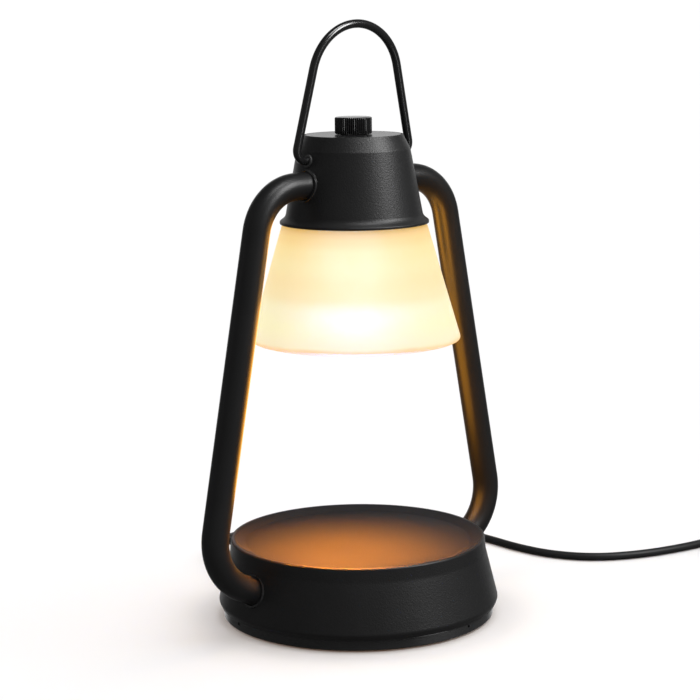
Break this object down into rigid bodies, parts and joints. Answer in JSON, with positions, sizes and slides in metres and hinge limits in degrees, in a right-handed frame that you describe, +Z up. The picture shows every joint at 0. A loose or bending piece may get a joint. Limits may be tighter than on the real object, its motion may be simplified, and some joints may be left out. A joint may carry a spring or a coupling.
{
  "type": "candle warmer lamp",
  "caption": "Lantern-shaped candle warmer lamp with a dished base, bent tube arms, a frosted glass shade, a dimmer knob and a carrying bail.",
  "frame": {"origin": "middle of the underside, on the surface that the lamp stands on", "axes": "+Z up; the two arms stand in the XZ plane, and the cord leaves the base towards +Y"},
  "size_m": [0.3831, 0.2917, 0.3053],
  "materials": {
    "powder_coat": "fine textured satin black powder coat",
    "arm_coat": "fine textured satin black powder coat on bent tube",
    "base_ring": "semi-gloss black enamel",
    "handle_black": "smooth semi-gloss black enamel on wire",
    "knob_black": "satin black, finely knurled",
    "foot_rubber": "matt",
    "zinc_screw": "zinc plated",
    "black_screw": "blackened",
    "ballast_steel": "plain disc, lightly oiled",
    "zinc_plate": "zinc plated strip",
    "black_nylon": "matt",
    "white_nylon": "matt",
    "brass_screw": "satin",
    "nipple_steel": "threaded steel",
    "wire_sleeve": "woven heat-proof sleeve",
    "dimmer_plastic": "moulded",
    "ceramic_white": "unglazed",
    "sleeve_black": "satin black",
    "gasket_silicone": "matt heat-proof silicone",
    "frosted_glass": "frosted, lit warm from inside",
    "reflector_glass": "faceted and silvered inside",
    "lens_glass": "clear",
    "burner_glass": "glowing halogen burner",
    "cord_black": "smooth satin cord jacket",
    "plug_black": "fine satin moulding",
    "blade_brass": "satin"
  },
  "bodies": {
    "lamp": {"base_shell": "powder_coat", "bottom_cover": "base_ring", "foot_pads": "foot_rubber", "cover_screws": "zinc_screw", "set_screws": "black_screw", "ballast_disc": "ballast_steel", "base_strap": "zinc_plate", "strap_spacers": "zinc_screw", "base_screws": "zinc_screw", "cord_clamp": "black_nylon", "terminal_block": "white_nylon", "terminal_screws": "brass_screw", "arm_right": "arm_coat", "arm_left": "arm_coat", "upper_nipples": "nipple_steel", "lower_nipples": "nipple_steel", "upper_nuts": "zinc_screw", "lower_nuts": "zinc_screw", "upper_collars": "powder_coat", "lower_collars": "powder_coat", "lead_wires": "wire_sleeve", "cap_shell": "powder_coat", "cap_top_plate": "powder_coat", "cap_bracket": "zinc_plate", "dimmer_body": "dimmer_plastic", "dimmer_nut": "zinc_screw", "lamp_holder": "ceramic_white", "holder_screws": "zinc_screw", "holder_sleeve": "sleeve_black", "holder_leads": "wire_sleeve", "shade_gaskets": "gasket_silicone", "shade_ring": "sleeve_black", "glass_shade": "frosted_glass", "bulb_reflector": "reflector_glass", "bulb_lens": "lens_glass", "bulb_base": "ceramic_white", "bulb_pins": "nipple_steel", "bulb_capsule": "burner_glass", "bail_bushes": "black_nylon", "strain_relief": "cord_black", "inner_cord": "cord_black", "power_cord": "cord_black", "cord_coil": "cord_black", "cord_tail": "cord_black", "plug_body": "plug_black", "plug_blades": "blade_brass"},
    "dimmer_knob": {"knob": "knob_black", "dimmer_shaft": "nipple_steel"},
    "bail": {"bail_handle": "handle_black"}
  },
  "joints": [
    {"name": "knob_turn", "type": "hinge", "parent": "lamp", "child": "dimmer_knob", "pos_m": [0, 0, 0.25], "axis": [0, 0, 1], "range_deg": [-150, 150]},
    {"name": "bail_swing", "type": "hinge", "parent": "lamp", "child": "bail", "pos_m": [0, 0, 0.2367], "axis": [1, 0, 0], "range_deg": [-131, 125]}
  ]
}
